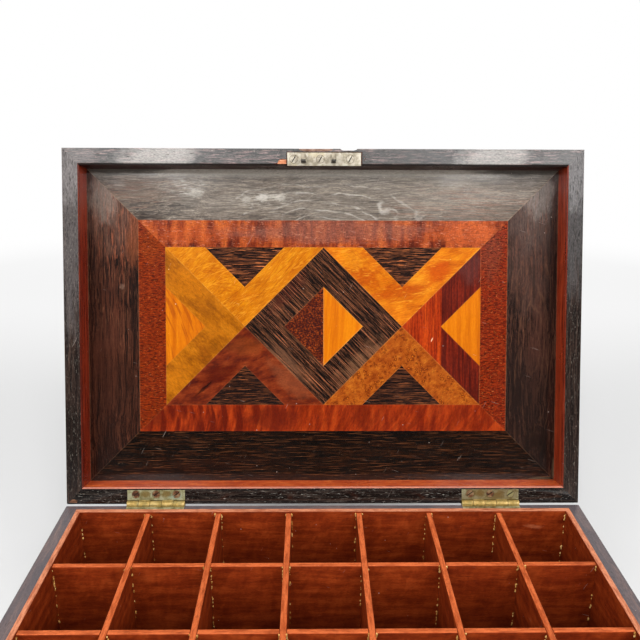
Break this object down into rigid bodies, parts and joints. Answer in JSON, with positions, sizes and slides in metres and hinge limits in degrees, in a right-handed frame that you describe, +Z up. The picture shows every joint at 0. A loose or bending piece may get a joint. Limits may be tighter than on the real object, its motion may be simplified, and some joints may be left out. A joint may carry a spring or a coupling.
{
  "type": "hinged compartment box",
  "caption": "Hinged wooden box with rows of small compartments and a lid that opens on two brass hinges to show a geometric parquetry panel.",
  "frame": {"origin": "middle of the base's underside", "axes": "+Z up, +X to the right seen from the front, +Y from the front to the hinges"},
  "size_m": [0.34, 0.3213, 0.3056],
  "materials": {
    "ebonised_rosewood": "worn, waxed, near black",
    "bottom_deal": "plain, dull",
    "lining_mahogany": "old, lightly waxed",
    "divider_mahogany": "old, lightly waxed",
    "facing_mahogany": "polished deep red",
    "coromandel": "polished, open grain",
    "crossband_mahogany": "polished, red",
    "satinwood": "polished, yellow with streaks",
    "olive_satinwood": "polished, olive yellow",
    "flame_mahogany": "polished, curled grain",
    "amber_satinwood": "polished, amber",
    "padauk": "polished, upright red grain",
    "burr_amboyna": "polished, small burr eyes",
    "striped_coromandel": "polished, dark with brown stripes",
    "snakewood": "polished, mottled dark red",
    "yellow_satinwood": "polished, bright yellow",
    "hinge_brass": "tarnished",
    "pin_brass": "dull",
    "screw_brass": "dull",
    "screw_copper": "dull, coppery",
    "lock_nickel": "dull",
    "strike_nickel": "worn white metal"
  },
  "bodies": {
    "base": {"front_wall": "ebonised_rosewood", "rear_wall": "ebonised_rosewood", "left_wall": "ebonised_rosewood", "right_wall": "ebonised_rosewood", "bottom_board": "bottom_deal", "front_lining": "lining_mahogany", "rear_lining": "lining_mahogany", "left_lining": "lining_mahogany", "right_lining": "lining_mahogany", "cross_divider_1": "divider_mahogany", "cross_divider_2": "divider_mahogany", "cross_divider_3": "divider_mahogany", "cross_divider_4": "divider_mahogany", "cross_divider_5": "divider_mahogany", "cross_divider_6": "divider_mahogany", "long_divider_1": "divider_mahogany", "long_divider_2": "divider_mahogany", "long_divider_3": "divider_mahogany", "hinge_base_leaves": "hinge_brass", "hinge_pins": "pin_brass", "base_screws": "screw_brass", "lock_plate": "lock_nickel", "lock_cap": "lock_nickel", "lock_spring": "pin_brass", "escutcheon": "hinge_brass"},
    "lid": {"lid_front_rail": "ebonised_rosewood", "lid_rear_rail": "ebonised_rosewood", "lid_left_rail": "ebonised_rosewood", "lid_right_rail": "ebonised_rosewood", "lid_top_board": "ebonised_rosewood", "front_facing": "facing_mahogany", "rear_facing": "facing_mahogany", "left_facing": "facing_mahogany", "right_facing": "facing_mahogany", "surround_upper": "coromandel", "surround_lower": "coromandel", "surround_left": "coromandel", "surround_right": "coromandel", "crossband_upper": "crossband_mahogany", "crossband_lower": "crossband_mahogany", "crossband_left": "crossband_mahogany", "crossband_right": "crossband_mahogany", "vee_upper_left": "satinwood", "vee_left": "olive_satinwood", "vee_lower_left": "flame_mahogany", "vee_upper_right": "amber_satinwood", "vee_right": "padauk", "vee_lower_right": "burr_amboyna", "diamond_band": "striped_coromandel", "diamond_left_half": "snakewood", "diamond_right_half": "yellow_satinwood", "dark_triangles": "striped_coromandel", "yellow_triangles": "yellow_satinwood", "hinge_lid_leaves": "hinge_brass", "lid_hinge_screws": "screw_copper", "strike_plate": "strike_nickel", "strike_links": "strike_nickel", "strike_screws": "strike_nickel"},
    "lock_bolt": {"lock_bolt": "pin_brass"}
  },
  "joints": [
    {"name": "lid_hinge", "type": "hinge", "parent": "base", "child": "lid", "pos_m": [0, 0.117, 0.0802], "axis": [1, 0, 0], "range_deg": [0, 105.5]},
    {"name": "bolt_slide", "type": "slide", "parent": "base", "child": "lock_bolt", "axis": [-1, 0, 0], "range_m": [0, 0.0048]}
  ]
}
